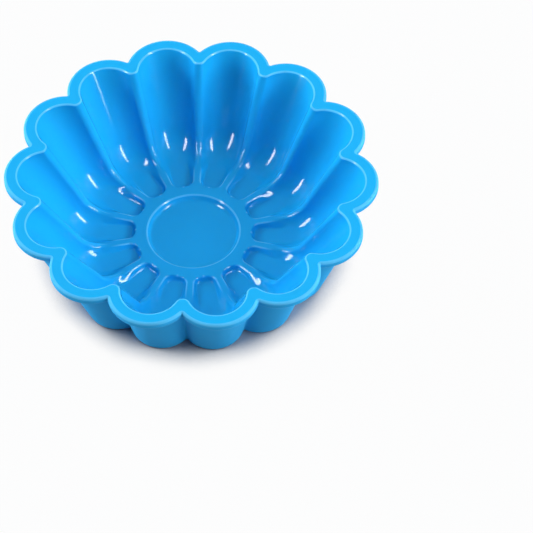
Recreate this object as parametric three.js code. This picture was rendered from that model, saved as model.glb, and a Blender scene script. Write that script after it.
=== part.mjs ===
// Flower cake mould: a scalloped rim, fluted petals that run from the rim down into floor pads between
// ribs, and a level hub ring round a shallow centre disc. Millimetres, +Z up, origin on the table under
// the centre. A petal is drawn along its own +X axis and then turned to its place.
import * as THREE from 'three';

// Petals and overall size
const PETAL_COUNT = 14;
const OVERALL_DIAMETER = 240;
const LAND_DEPTH = 55; // rim's top face down to the hub ring and the ribs
const PAD_DEPTH = 3.6; // ribs down to the pads
const PAD_THICKNESS = 4.4; // pads down to the table

// Rim
const RIM_WIDTH = 8.2;
const RIM_THICKNESS = 5;
const NOTCH_DEPTH = 11.75; // petal tips in to the rim's outer notches

// Petal walls
const FLUTE_DEPTH = 14.7; // flute bottoms in to the ridge crests, at the rim
const RIDGE_RADIUS = 4.3; // rounded crest of a ridge, at the rim
const FLUTE_DRAFT_DEG = 30; // lean of the flute bottoms from the vertical
const RIDGE_DRAFT_DEG = 28; // lean of the ridge crests from the vertical
const FOOT_RADIUS = 24; // flute bottom into pad
const RIDGE_BEND_RADIUS = 18; // ridge into rib

// Outside of the petals
const WALL_AT_RIM = 3.6; // level thickness behind a flute's bottom, under the rim
const WALL_AT_BASE = 16.8; // from the flute's line, carried down to the table, out to the base
const GROOVE_AT_RIM = 12.1; // outer tips in to the grooves between petals, under the rim
const GROOVE_AT_BASE = 9.3; // the same at the table
const GROOVE_RADIUS = 1.4;
const BASE_EDGE_RADIUS = 4; // outer wall into the underside

// Pads and ribs
const RIB_WIDTH = 3.2;
const RIB_EDGE_RADIUS = 1.2;
const PAD_EDGE_RADIUS = 1.5;
const PAD_CORNER_RADIUS = 5.6; // plan view, at the hub end
const TIP_ON_FOOT = 5; // plan length of a pad's rounded tip, before the foot ends
const TIP_ON_PAD = 9; // the same, after the foot ends
const RIB_FLANK_DEG = 68; // slope of a rib's sides from the level
const NARROWEST_PAD = 0.15; // least share of the room between two ribs that stays level pad
const WIDEST_RIB = 0.85; // most of a petal's width that a rib with its rounded corners may take

// Hub ring and centre disc
const DISC_RADIUS = 27.3;
const DISC_RECESS = 3.4; // hub ring down to the disc
const DISC_SLOPE_RUN = 3.9; // plan width of the slope round the disc
const LAND_WIDTH = 6.2; // disc's upper edge out to the pads
const LAND_ON_PETAL = 1.4; // share of that width that belongs to the petals
const HUB_THICKNESS = 2.6;

// Seam left between neighbouring zones of the one moulding
const SEAM = 0.3;

// Fineness of the facets
const FLUTE_STEPS = 2; // flute bottom, on each side of its centre line
const FLANK_STEPS = 3;
const CREST_STEPS = 3;
const FOOT_STEPS = 4;
const ROUND_STEPS = 56;

// Look of the silicone
const SILICONE_BLUE = '#1d9fe8';
const SILICONE_ROUGHNESS = 0.3;

const halfPitch = Math.PI / PETAL_COUNT;
const seamAcross = SEAM / 2 / Math.cos(halfPitch);

// Levels
const landZ = PAD_THICKNESS + PAD_DEPTH;
const rimTopZ = landZ + LAND_DEPTH;
const rimUnderZ = rimTopZ - RIM_THICKNESS;
const petalTopZ = rimUnderZ - SEAM;
const discZ = landZ - DISC_RECESS;

// Radii
const tipRadius = OVERALL_DIAMETER / 2;
const notchRadius = tipRadius - NOTCH_DEPTH;
const fluteRadius = tipRadius - RIM_WIDTH;
const ridgeRadius = fluteRadius - FLUTE_DEPTH;
const discEdgeRadius = DISC_RADIUS + DISC_SLOPE_RUN;
const landRadius = discEdgeRadius + LAND_WIDTH;
const hubRadius = landRadius - LAND_ON_PETAL;

// Reach, along a petal's axis, of the flute's bottom and of the ridges at a given level of the wall.
const fluteLean = Math.tan(THREE.MathUtils.degToRad(FLUTE_DRAFT_DEG));
const ridgeLean = Math.tan(THREE.MathUtils.degToRad(RIDGE_DRAFT_DEG));
const fluteReach = (z) => fluteRadius - (rimTopZ - z) * fluteLean;
const ridgeReach = (z) => (ridgeRadius - (rimTopZ - z) * ridgeLean) * Math.cos(halfPitch);

// A ridge's crest grows narrower as its reach draws in.
const crestRadiusAt = (reach) => (RIDGE_RADIUS * reach) / ridgeReach(rimTopZ);

// Half the width of a petal at a given reach along its axis.
const halfWidthAt = (reach, seam) => reach * Math.tan(halfPitch) - seam;

function silicone() {
  return new THREE.MeshStandardMaterial({
    color: SILICONE_BLUE,
    roughness: SILICONE_ROUGHNESS,
    metalness: 0,
  });
}

// Count of equal steps from one value to another, without the first value.
function stepsBetween(from, to, count) {
  return Array.from({ length: count }, (_, step) => THREE.MathUtils.lerp(from, to, (step + 1) / count));
}

// Half section of a flute as Vector2(across, up): a round bottom that runs tangent into a round crest.
// crestTilt is the slope of the crest where it meets the next petal.
function fluteSection(halfWidth, height, crestRadius, crestTilt) {
  const reach = halfWidth + crestRadius * Math.sin(crestTilt);
  const rise = height + crestRadius * (1 - Math.cos(crestTilt));
  const turn = 2 * Math.atan2(rise, reach);
  const centreGap = reach / Math.sin(turn);
  const bottomRadius = centreGap - crestRadius;
  const crestUp = bottomRadius - centreGap * Math.cos(turn);
  const onBottom = (angle) =>
    new THREE.Vector2(bottomRadius * Math.sin(angle), bottomRadius * (1 - Math.cos(angle)));
  const onCrest = (angle) =>
    new THREE.Vector2(reach - crestRadius * Math.sin(angle), crestUp + crestRadius * Math.cos(angle));
  return [
    new THREE.Vector2(0, 0),
    ...stepsBetween(0, turn / 2, FLUTE_STEPS).map(onBottom),
    ...stepsBetween(turn / 2, turn, FLANK_STEPS).map(onBottom),
    ...stepsBetween(turn, crestTilt, CREST_STEPS).map(onCrest),
  ];
}

// Side of a rib, from a pad up to a given height: a hollow round, a straight flank and a round edge.
function ribFlank(height) {
  const rounds = PAD_EDGE_RADIUS + RIB_EDGE_RADIUS;
  const steepest = THREE.MathUtils.degToRad(RIB_FLANK_DEG);
  const roundsOnly = Math.acos(Math.max(1 - height / rounds, -1));
  const slope = Math.min(steepest, roundsOnly);
  const straight = Math.max(height - rounds * (1 - Math.cos(slope)), 0) / Math.sin(slope);
  const run = rounds * Math.sin(slope) + straight * Math.cos(slope);
  const onRound = (radius, angle) =>
    new THREE.Vector2(radius * Math.sin(angle), radius * (1 - Math.cos(angle)));
  const onHollow = (angle) => onRound(PAD_EDGE_RADIUS, angle);
  const onEdge = (angle) => new THREE.Vector2(run, height).sub(onRound(RIB_EDGE_RADIUS, angle));
  const points = [
    ...stepsBetween(0, slope, FLANK_STEPS - 1).map(onHollow),
    onEdge(slope),
    ...stepsBetween(slope, 0, CREST_STEPS - 1).map(onEdge),
  ];
  return { run, points };
}

// Half section of a pad as Vector2(across, up), with as many points as a flute's: the level pad, the side
// of the rib and half of the rib's top. On a narrow petal the rib's side takes the width there is.
function padSection(halfWidth, height, ribHalf) {
  const room = halfWidth - Math.min(ribHalf, halfWidth * WIDEST_RIB);
  const flank = ribFlank(height);
  const padHalf = Math.max(room - flank.run, room * NARROWEST_PAD);
  const squeeze = (room - padHalf) / flank.run;
  return [
    new THREE.Vector2(0, 0),
    ...stepsBetween(0, padHalf, FLUTE_STEPS).map((across) => new THREE.Vector2(across, 0)),
    ...flank.points.map((point) => new THREE.Vector2(padHalf + point.x * squeeze, point.y)),
    new THREE.Vector2(halfWidth, height),
  ];
}

// Stations of a profile in the plane of a petal's axis, as Vector2(reach, level): down a straight wall and
// round a foot until level.
function footProfile(top, corner, radius) {
  const lean = Math.atan2(top.x - corner.x, top.y - corner.y);
  const setback = radius * Math.tan((Math.PI / 2 - lean) / 2);
  const foot = new THREE.EllipseCurve(
    corner.x - setback, corner.y + radius, radius, radius, -lean, -Math.PI / 2, true,
  );
  return [top, ...foot.getPoints(FOOT_STEPS)];
}

// Extra half width that rounds a pad's corners in plan at its hub end.
function cornerRounding(reach) {
  const inCorner = THREE.MathUtils.clamp(landRadius + PAD_CORNER_RADIUS - reach, 0, PAD_CORNER_RADIUS);
  return PAD_CORNER_RADIUS - Math.sqrt(PAD_CORNER_RADIUS ** 2 - inCorner ** 2);
}

// Stations of the baking side: the flute's bottom line, the ridge beside it, and how each section is
// shaped. Along the pad's tip the round flute flattens into the level pad. The pad's hub end rises to the
// land as steeply as a rib's side does.
function bakingStations() {
  const padZ = PAD_THICKNESS;
  const flute = footProfile(
    new THREE.Vector2(fluteReach(petalTopZ), petalTopZ),
    new THREE.Vector2(fluteReach(padZ), padZ),
    FOOT_RADIUS,
  );
  const ridge = footProfile(
    new THREE.Vector2(ridgeReach(petalTopZ), petalTopZ),
    new THREE.Vector2(ridgeReach(landZ), landZ),
    RIDGE_BEND_RADIUS,
  );
  const footReach = flute[flute.length - 1].x;
  const intoTip = (reach) => footReach + TIP_ON_FOOT - reach;
  const stations = flute.map((bottom, index) => ({
    bottom,
    crest: ridge[index],
    padShare: THREE.MathUtils.smoothstep(intoTip(bottom.x), 0, TIP_ON_FOOT + TIP_ON_PAD),
    crestRadius: crestRadiusAt(ridge[index].x),
    ribHalf: RIB_WIDTH / 2,
  }));
  const end = ribFlank(PAD_DEPTH);
  const padEnd = new THREE.Vector2(landRadius + end.run, landZ);
  const foot = stations[stations.length - 1];
  stations.push({
    bottom: new THREE.Vector2(footReach - TIP_ON_PAD, padZ),
    crest: foot.crest.clone().lerp(padEnd, TIP_ON_PAD / (footReach - padEnd.x)),
    padShare: 1,
    crestRadius: foot.crestRadius,
    ribHalf: RIB_WIDTH / 2,
  });
  const rise = [new THREE.Vector2(0, 0), ...end.points.slice(1, -1)];
  for (const step of rise) {
    const reach = padEnd.x - step.x;
    stations.push({
      bottom: new THREE.Vector2(reach, padZ + step.y),
      crest: new THREE.Vector2(reach, landZ),
      padShare: 1,
      crestRadius: RIB_EDGE_RADIUS,
      ribHalf: RIB_WIDTH / 2 + cornerRounding(reach),
    });
  }
  for (const radius of [landRadius, hubRadius]) {
    stations.push(hubStation(radius, landZ));
  }
  return stations;
}

// A level section that follows a circle round the hub.
function hubStation(radius, level) {
  return {
    bottom: new THREE.Vector2(radius, level),
    crest: new THREE.Vector2(radius * Math.cos(halfPitch), level),
    padShare: 0,
    crestRadius: 0,
    ribHalf: 0,
  };
}

// Stations of the outside, one for each of the baking side: the wall, the edge round the base, and then
// the level underside in to the hub.
function outerStations(baking) {
  const tipAtRim = fluteReach(petalTopZ) + WALL_AT_RIM;
  const tipAtBase = fluteReach(0) + WALL_AT_BASE;
  const sideProfile = (atRim, atBase) =>
    footProfile(new THREE.Vector2(atRim, petalTopZ), new THREE.Vector2(atBase, 0), BASE_EDGE_RADIUS);
  const side = sideProfile(tipAtRim, tipAtBase);
  const groove = sideProfile(
    (tipAtRim - GROOVE_AT_RIM) * Math.cos(halfPitch),
    (tipAtBase - GROOVE_AT_BASE) * Math.cos(halfPitch),
  );
  const hub = hubStation(hubRadius, 0);
  const footReach = baking[side.length - 1].bottom.x;
  return baking.map(({ bottom }, index) => {
    const onSide = Math.min(index, side.length - 1);
    const inward = index < side.length ? 0 : (footReach - bottom.x) / (footReach - hubRadius);
    return {
      bottom: side[onSide].clone().lerp(hub.bottom, inward),
      crest: groove[onSide].clone().lerp(hub.crest, inward),
      padShare: 0,
      crestRadius: GROOVE_RADIUS * (1 - inward),
      ribHalf: 0,
    };
  });
}

// Whole section of one station, from one ridge across the petal to the other.
function sectionPoints({ bottom, crest, padShare, crestRadius, ribHalf }) {
  const upright = crest.clone().sub(bottom);
  const height = upright.length();
  const halfWidth = halfWidthAt(crest.x, seamAcross);
  const crestTilt = Math.atan((-upright.x / height) * Math.tan(halfPitch));
  const flute = fluteSection(halfWidth, height, crestRadius, crestTilt);
  const pad = padShare > 0 ? padSection(halfWidth, height, ribHalf - seamAcross) : flute;
  const half = flute.map((point, index) => point.clone().lerp(pad[index], padShare));
  const place = ({ x, y }, side) => {
    const onAxis = bottom.clone().addScaledVector(upright, y / height);
    return new THREE.Vector3(onAxis.x, side * x, onAxis.y);
  };
  const right = half.slice(1).reverse().map((point) => place(point, -1));
  const left = half.map((point) => place(point, 1));
  return [...right, ...left];
}

// Faces between loops of equal length, each joined to the next. capped closes the first and the last loop
// across, as two facing rows of points; otherwise the last loop joins the first.
function loft(loops, capped) {
  const size = loops[0].length;
  const positions = loops.flat().flatMap((point) => point.toArray());
  const faces = [];
  const quad = (a, b, c, d) => faces.push(a, b, c, a, c, d);
  const bands = capped ? loops.length - 1 : loops.length;
  for (let loop = 0; loop < bands; loop += 1) {
    const here = loop * size;
    const next = ((loop + 1) % loops.length) * size;
    for (let i = 0; i < size; i += 1) {
      const j = (i + 1) % size;
      quad(here + i, next + i, next + j, here + j);
    }
  }
  if (capped) {
    const last = (loops.length - 1) * size;
    for (let i = 0; i < size / 2 - 1; i += 1) {
      const across = size - 1 - i;
      quad(i, i + 1, across - 1, across);
      quad(last + across, last + across - 1, last + i + 1, last + i);
    }
  }
  const geometry = new THREE.BufferGeometry();
  geometry.setAttribute('position', new THREE.Float32BufferAttribute(positions, 3));
  geometry.setIndex(faces);
  geometry.computeVertexNormals();
  return geometry;
}

function petalGeometry() {
  const baking = bakingStations();
  const outer = outerStations(baking);
  const loops = baking.map((station, index) => [
    ...sectionPoints(outer[index]),
    ...sectionPoints(station).reverse(),
  ]);
  return loft(loops, true);
}

// One petal's share of the rim's outer edge: an arc from notch to notch.
function rimOuterArc(steps) {
  const halfChord = notchRadius * Math.sin(halfPitch);
  const bulge = tipRadius - notchRadius * Math.cos(halfPitch);
  const radius = (halfChord ** 2 + bulge ** 2) / (2 * bulge);
  const notchAngle = Math.atan2(halfChord, radius - bulge);
  const arc = new THREE.EllipseCurve(tipRadius - radius, 0, radius, radius, -notchAngle, notchAngle);
  return arc.getPoints(steps);
}

// One petal's share of the rim's inner edge at a given level: a flute between two ridge crests.
function rimInnerFlute(level) {
  const bottom = fluteReach(level);
  const ridge = ridgeReach(level);
  const half = fluteSection(halfWidthAt(ridge, 0), bottom - ridge, crestRadiusAt(ridge), halfPitch);
  const right = half.slice(1).reverse().map(({ x, y }) => new THREE.Vector2(bottom - y, -x));
  const left = half.map(({ x, y }) => new THREE.Vector2(bottom - y, x));
  return [...right, ...left];
}

// A full ring of points at one level from one petal's share, whose last point is the next share's first.
function ringOf(share, level) {
  const centre = new THREE.Vector2();
  return Array.from({ length: PETAL_COUNT }, (_, petal) =>
    share.slice(0, -1).map((point) => {
      const turned = point.clone().rotateAround(centre, 2 * halfPitch * petal);
      return new THREE.Vector3(turned.x, turned.y, level);
    }),
  ).flat();
}

function rimGeometry() {
  const innerTop = rimInnerFlute(rimTopZ);
  const outer = rimOuterArc(innerTop.length - 1);
  return loft(
    [
      ringOf(outer, rimTopZ),
      ringOf(outer, rimUnderZ),
      ringOf(rimInnerFlute(rimUnderZ), rimUnderZ),
      ringOf(innerTop, rimTopZ),
    ],
    false,
  );
}

// A profile of [radius, level] pairs turned round the mould's axis.
function turned(profile) {
  const outline = profile.map(([radius, level]) => new THREE.Vector2(radius, level));
  return new THREE.LatheGeometry(outline, ROUND_STEPS).rotateX(Math.PI / 2);
}

function hubGeometry() {
  const inner = DISC_RADIUS + SEAM;
  const outer = hubRadius - SEAM;
  const slope = Math.atan2(DISC_RECESS, DISC_SLOPE_RUN);
  const underShift = HUB_THICKNESS * Math.tan(slope / 2);
  const landUnder = landZ - HUB_THICKNESS;
  const discUnder = discZ - HUB_THICKNESS;
  const slopeLevel = discZ + SEAM * Math.tan(slope);
  return turned([
    [inner, discUnder],
    [DISC_RADIUS + underShift, discUnder],
    [discEdgeRadius + underShift, landUnder],
    [outer, landUnder],
    [outer, landZ],
    [discEdgeRadius, landZ],
    [inner, slopeLevel],
    [inner, discUnder],
  ]);
}

function discGeometry() {
  return turned([
    [0, discZ - HUB_THICKNESS],
    [DISC_RADIUS, discZ - HUB_THICKNESS],
    [DISC_RADIUS, discZ],
    [0, discZ],
  ]);
}

function named(name, geometry) {
  const mesh = new THREE.Mesh(geometry, silicone());
  mesh.name = name;
  return mesh;
}

const mould = new THREE.Group();
mould.name = 'flower_mould';
mould.add(named('rim_flange', rimGeometry()));
for (let petal = 0; petal < PETAL_COUNT; petal += 1) {
  const mesh = named(`petal_${String(petal + 1).padStart(2, '0')}`, petalGeometry());
  mesh.rotation.z = 2 * halfPitch * petal;
  mould.add(mesh);
}
mould.add(named('hub_ring', hubGeometry()));
mould.add(named('centre_disc', discGeometry()));

export default mould;
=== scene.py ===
"""Flower cake mould in glossy blue silicone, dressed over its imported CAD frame.

Lengths in the classes are millimetres, as on a maker's drawing, and become metres when a mesh is made.
One petal is worked out along its own +X axis and then turned to its fourteen places. The mould is one
closed skin, as the real moulding is: a grid of rows, which run from the centre of the floor out over the
rim and back under the base, by columns, which run round the axis.
"""

import logging
import math
from dataclasses import dataclass, field
from enum import Enum

import bpy
import numpy as np
from mathutils import Matrix


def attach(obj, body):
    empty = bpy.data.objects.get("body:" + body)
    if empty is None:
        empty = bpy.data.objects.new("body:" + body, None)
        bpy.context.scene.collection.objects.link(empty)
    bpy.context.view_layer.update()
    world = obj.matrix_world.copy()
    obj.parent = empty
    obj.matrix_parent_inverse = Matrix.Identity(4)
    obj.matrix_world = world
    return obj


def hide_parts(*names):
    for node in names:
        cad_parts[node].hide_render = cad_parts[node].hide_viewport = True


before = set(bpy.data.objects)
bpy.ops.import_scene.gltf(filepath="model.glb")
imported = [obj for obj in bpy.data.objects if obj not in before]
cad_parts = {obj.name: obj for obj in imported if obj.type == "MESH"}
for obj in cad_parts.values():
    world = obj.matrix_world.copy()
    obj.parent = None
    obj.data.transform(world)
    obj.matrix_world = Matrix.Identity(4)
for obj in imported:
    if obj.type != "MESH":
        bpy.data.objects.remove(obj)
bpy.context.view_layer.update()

LOG = logging.getLogger("flower_mould")
MM = 0.001

# Sockets of a Mix node that is set to colours.
COLOUR_A, COLOUR_B, MIXED_COLOUR = 6, 7, 2


def linear(hex_colour: str) -> tuple[float, float, float, float]:
    """Turn an sRGB hex colour into linear light.

    Args:
        hex_colour: colour such as "#1d9fe8".

    Returns:
        Red, green, blue and an alpha of 1, each channel ((c + 0.055) / 1.055) ** 2.4, or c / 12.92
        where c is at most 0.04045.
    """
    channels = np.array([int(hex_colour[i:i + 2], 16) for i in (1, 3, 5)]) / 255.0
    light = np.where(channels <= 0.04045, channels / 12.92, ((channels + 0.055) / 1.055) ** 2.4)
    return (*light.tolist(), 1.0)


def add_node(
    tree: bpy.types.NodeTree, kind: str, links: dict | None = None, values: dict | None = None, **settings
) -> bpy.types.Node:
    """Add one shader node, set it up and link it.

    Args:
        tree: node tree that takes the node.
        kind: Blender's name of the node type.
        links: input's name or number to the output socket that feeds it.
        values: input's name or number to its value.
        settings: the node's own properties.

    Returns:
        The new node.
    """
    node = tree.nodes.new(kind)
    for name, setting in settings.items():
        setattr(node, name, setting)
    for key, value in (values or {}).items():
        node.inputs[key].default_value = value
    for key, socket in (links or {}).items():
        tree.links.new(socket, node.inputs[key])
    return node


def empty_tree(owner: bpy.types.Material | bpy.types.World) -> bpy.types.NodeTree:
    """Switch a material or a world to nodes.

    Args:
        owner: new material or world.

    Returns:
        Its node tree, emptied.
    """
    owner.use_nodes = True
    owner.node_tree.nodes.clear()
    return owner.node_tree


def add_piece(name: str, points: np.ndarray, faces: list[list[int]]) -> bpy.types.Object:
    """Make a mesh and its object, at the origin.

    Args:
        name: name of both.
        points: (x, y, z) of each point, in metres.
        faces: numbers of each face's points.

    Returns:
        The new object, linked to the scene.
    """
    mesh = bpy.data.meshes.new(name)
    mesh.from_pydata(points.tolist(), [], faces)
    mesh.validate()
    mesh.update()
    piece = bpy.data.objects.new(name, mesh)
    bpy.context.collection.objects.link(piece)
    return piece


def grid_quads(rows: int, columns: int, closed: bool) -> np.ndarray:
    """Join each row of a grid of points to the next, and each column to the next.

    Args:
        rows: number of rows; a point's number is its row times columns, plus its column.
        columns: number of columns.
        closed: whether the last column joins the first.

    Returns:
        Four point numbers for each quad, turning from the rows' way to the columns' way.
    """
    here = np.arange(columns if closed else columns - 1)
    there = (here + 1) % columns
    start = columns * np.arange(rows - 1)[:, None]
    corners = [start + here, start + columns + here, start + columns + there, start + there]
    return np.stack(corners, axis=-1).reshape(-1, 4)


def facing_axes(azimuth_deg: float, elevation_deg: float, roll_deg: float) -> np.ndarray:
    """Axes of a light or a camera that looks at the mould from a direction.

    Back is (cos a cos e, sin a cos e, sin e), for azimuth a and elevation e. The level right is
    (-sin a, cos a, 0), and the roll turns it about back towards back cross right.

    Args:
        azimuth_deg: the direction's angle from +X towards +Y.
        elevation_deg: its angle over the level.
        roll_deg: turn about the line of sight.

    Returns:
        Right, up and back, as columns.
    """
    azimuth, elevation, roll = np.radians([azimuth_deg, elevation_deg, roll_deg])
    level = np.array([-math.sin(azimuth), math.cos(azimuth), 0.0])
    back = np.array([
        math.cos(azimuth) * math.cos(elevation),
        math.sin(azimuth) * math.cos(elevation),
        math.sin(elevation),
    ])
    right = math.cos(roll) * level + math.sin(roll) * np.cross(back, level)
    return np.stack([right, np.cross(back, right), back], axis=1)


def put_in_scene(thing: bpy.types.Object, axes: np.ndarray, place: np.ndarray) -> None:
    """Pose a light or a camera and link it to the scene.

    Args:
        thing: the object.
        axes: its right, up and back, as columns.
        place: where it stands, in metres.
    """
    pose = np.eye(4)
    pose[:3, :3] = axes
    pose[:3, 3] = place
    thing.matrix_world = Matrix(pose.tolist())
    bpy.context.collection.objects.link(thing)


def shares(steps: int) -> np.ndarray:
    """Shares from 0 to 1 in even steps, with both ends."""
    return np.linspace(0.0, 1.0, steps + 1)


def even_way(start: np.ndarray, end: tuple[float, float], steps: int) -> np.ndarray:
    """Points in even steps straight from a start, which is left out, to an end."""
    return start + (np.array(end) - start) * shares(steps)[1:, None]


def smooth_step(share: np.ndarray) -> np.ndarray:
    """Ease a share from 0 to 1: three times its square less twice its cube."""
    clipped = np.clip(share, 0.0, 1.0)
    return clipped * clipped * (3.0 - 2.0 * clipped)


@dataclass(frozen=True)
class MouldSizes:
    """Sizes that more than one zone of the mould shares, in millimetres and degrees."""

    petal_count: int = 14
    tip_radius: float = 120.0
    rim_width: float = 8.2
    rim_thickness: float = 5.0
    notch_depth: float = 11.75
    flute_depth: float = 14.7
    ridge_radius: float = 4.3
    flute_draft_deg: float = 30.0
    ridge_draft_deg: float = 28.0
    land_depth: float = 55.0
    pad_depth: float = 3.6
    pad_thickness: float = 4.4
    disc_radius: float = 27.3
    disc_recess: float = 3.4
    disc_slope_run: float = 3.9
    land_width: float = 6.2
    hub_thickness: float = 2.6

    @property
    def half_pitch(self) -> float:
        """Half the angle that one petal takes."""
        return math.pi / self.petal_count

    @property
    def land_level(self) -> float:
        """Level of the ribs and of the ring round the disc."""
        return self.pad_thickness + self.pad_depth

    @property
    def rim_level(self) -> float:
        """Level of the rim's top face."""
        return self.land_level + self.land_depth

    @property
    def rim_under_level(self) -> float:
        """Level of the rim's underside."""
        return self.rim_level - self.rim_thickness

    @property
    def flute_radius(self) -> float:
        """Radius of the flute bottoms where they meet the rim's top face."""
        return self.tip_radius - self.rim_width

    @property
    def ridge_crest(self) -> float:
        """Radius of the ridge crests where they meet the rim's top face."""
        return self.flute_radius - self.flute_depth

    @property
    def notch_radius(self) -> float:
        """Radius of the rim's outer notches."""
        return self.tip_radius - self.notch_depth

    @property
    def land_radius(self) -> float:
        """Radius at which the pads begin."""
        return self.disc_radius + self.disc_slope_run + self.land_width

    def flute_reach(self, level: float) -> float:
        """Reach of the straight flute bottom at a level: its radius at the rim less the draft's lean."""
        return self.flute_radius - (self.rim_level - level) * math.tan(math.radians(self.flute_draft_deg))

    def ridge_radius_at(self, level: float) -> float:
        """Radius of the straight ridge crest at a level: its radius at the rim less the draft's lean."""
        return self.ridge_crest - (self.rim_level - level) * math.tan(math.radians(self.ridge_draft_deg))


@dataclass(frozen=True)
class Columns:
    """How half of a petal's section is divided, from its centre line to the ridge."""

    bottom: int = 8
    hollow: int = 5
    straight: int = 3
    edge: int = 4
    top: int = 3

    @property
    def half(self) -> int:
        """Steps from the centre line to the ridge."""
        return self.bottom + self.hollow + self.straight + self.edge + self.top

    def round_turns(self) -> np.ndarray:
        """Share of a flute's round bottom at each column: half of it before the flank, half along it."""
        along = shares(self.hollow + self.straight)[1:]
        return np.concatenate([0.5 * shares(self.bottom), 0.5 + 0.5 * along])

    def crest_turns(self) -> np.ndarray:
        """Share of a flute's round crest at each column after the flank."""
        return shares(self.edge + self.top)[1:]

    def circle_shares(self) -> np.ndarray:
        """Share of half a petal's angle at each column, on a plain circle: even steps."""
        return shares(self.half)


SIZES = MouldSizes()
COLUMNS = Columns()


def flute_section(
    half_width: np.ndarray, height: np.ndarray, crest_radius: np.ndarray, crest_tilt: np.ndarray
) -> tuple[np.ndarray, np.ndarray]:
    """Half section of a flute: a round bottom that runs tangent into a round crest.

    The two rounds touch on the line between their centres. That line leans from the upright by twice
    the angle whose tangent is rise over reach, where reach and rise lead from the flute's bottom to the
    top of the crest's round; the bottom's radius is the distance of the centres less the crest's radius.

    Args:
        half_width: ridge's distance across from the centre line, a column of rows.
        height: ridge's height over the bottom, a column of rows.
        crest_radius: radius of the ridge's crest, a column of rows.
        crest_tilt: slope of the crest at the ridge, in radians, a column of rows.

    Returns:
        Distance across and height, each as rows by columns.
    """
    reach = half_width + crest_radius * np.sin(crest_tilt)
    rise = height + crest_radius * (1.0 - np.cos(crest_tilt))
    turn = 2.0 * np.arctan2(rise, reach)
    centre_gap = reach / np.sin(turn)
    radius = centre_gap - crest_radius
    bottom = turn * COLUMNS.round_turns()
    crest = turn + (crest_tilt - turn) * COLUMNS.crest_turns()
    across = np.hstack([radius * np.sin(bottom), reach - crest_radius * np.sin(crest)])
    up = np.hstack([
        radius * (1.0 - np.cos(bottom)),
        radius - centre_gap * np.cos(turn) + crest_radius * np.cos(crest),
    ])
    return across, up


@dataclass(frozen=True)
class RibSide:
    """Side of a rib over a pad: a hollow round, a straight flank and a round edge.

    Where the room is short, the rib's flat top takes at most the share most_rib of the half width, and
    the level pad keeps at least the share least_pad of the rest.
    """

    hollow_radius: float = 1.5
    edge_radius: float = 1.2
    flank_deg: float = 68.0
    most_rib: float = 0.85
    least_pad: float = 0.15

    def slope(self, height: float | np.ndarray) -> np.ndarray:
        """Steepest slope: the flank's, or less where the two rounds alone make the height."""
        rounds = self.hollow_radius + self.edge_radius
        return np.minimum(math.radians(self.flank_deg), np.arccos(np.clip(1.0 - height / rounds, -1.0, 1.0)))

    def run(self, height: float | np.ndarray) -> np.ndarray:
        """Plan width of the side: the rounds' sine of the slope, and the straight part's cosine of it.

        Args:
            height: rib's height over the pad.

        Returns:
            The width, in the height's shape.
        """
        rounds = self.hollow_radius + self.edge_radius
        slope = self.slope(height)
        straight = np.maximum(height - rounds * (1.0 - np.cos(slope)), 0.0) / np.sin(slope)
        return rounds * np.sin(slope) + straight * np.cos(slope)

    def full_run(self) -> float:
        """Plan width where the rib has its full height over the pad."""
        return float(self.run(SIZES.pad_depth))

    def section(
        self, half_width: np.ndarray, height: np.ndarray, rib_half: np.ndarray
    ) -> tuple[np.ndarray, np.ndarray]:
        """Half section of a pad and its rib: level pad, hollow, flank, edge and half of the rib's top.

        Args:
            half_width: rib's middle, across from the pad's centre line, a column of rows.
            height: rib's height over the pad, a column of rows.
            rib_half: half of the rib's flat top, a column of rows.

        Returns:
            Distance across and height, each as rows by columns. Where the room is short, the side keeps
            its form and takes the width that is left.
        """
        room = half_width - np.minimum(rib_half, self.most_rib * half_width)
        slope, run = self.slope(height), self.run(height)
        pad_half = np.maximum(room - run, self.least_pad * room)
        squeeze = (room - pad_half) / run
        hollow = slope * shares(COLUMNS.hollow)[1:]
        edge = slope * shares(COLUMNS.edge)[::-1]
        hollow_x, hollow_y = self.hollow_radius * np.sin(hollow), self.hollow_radius * (1.0 - np.cos(hollow))
        edge_x = run - self.edge_radius * np.sin(edge)
        edge_y = height - self.edge_radius * (1.0 - np.cos(edge))
        part = shares(COLUMNS.straight)[1:-1]
        flank_x = hollow_x[:, -1:] + (edge_x[:, :1] - hollow_x[:, -1:]) * part
        flank_y = hollow_y[:, -1:] + (edge_y[:, :1] - hollow_y[:, -1:]) * part
        side_x = pad_half + squeeze * np.hstack([hollow_x, flank_x, edge_x])
        side_y = np.hstack([hollow_y, flank_y, edge_y])
        pad_x = pad_half * shares(COLUMNS.bottom)
        top_x = room + (half_width - room) * shares(COLUMNS.top)[1:]
        across = np.hstack([pad_x, side_x, top_x])
        up = np.hstack([np.zeros_like(pad_x), side_y, np.broadcast_to(height, top_x.shape)])
        return across, up

    def height_at(self, distance: np.ndarray, height: float) -> np.ndarray:
        """Height of the side at a plan distance from the level pad's edge.

        The hollow is its radius less the root of that squared less the distance squared, the flank is
        the tangent of the slope, and the edge mirrors the hollow at the top.

        Args:
            distance: plan distance outwards from the pad's level part, negative on it.
            height: rib's height over the pad.

        Returns:
            Height over the pad.
        """
        slope, run = float(self.slope(height)), float(self.run(height))
        hollow_end = self.hollow_radius * math.sin(slope)
        edge_start = run - self.edge_radius * math.sin(slope)
        on_hollow = self.hollow_radius - np.sqrt(
            self.hollow_radius ** 2 - np.clip(distance, 0.0, hollow_end) ** 2
        )
        on_flank = np.clip(distance - hollow_end, 0.0, edge_start - hollow_end) * math.tan(slope)
        to_top = np.clip(run - distance, 0.0, run - edge_start)
        edge_drop = self.edge_radius - np.sqrt(self.edge_radius ** 2 - to_top ** 2)
        full_drop = self.edge_radius * (1.0 - math.cos(slope))
        return on_hollow + on_flank + full_drop - edge_drop


RIB_SIDE = RibSide()


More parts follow.
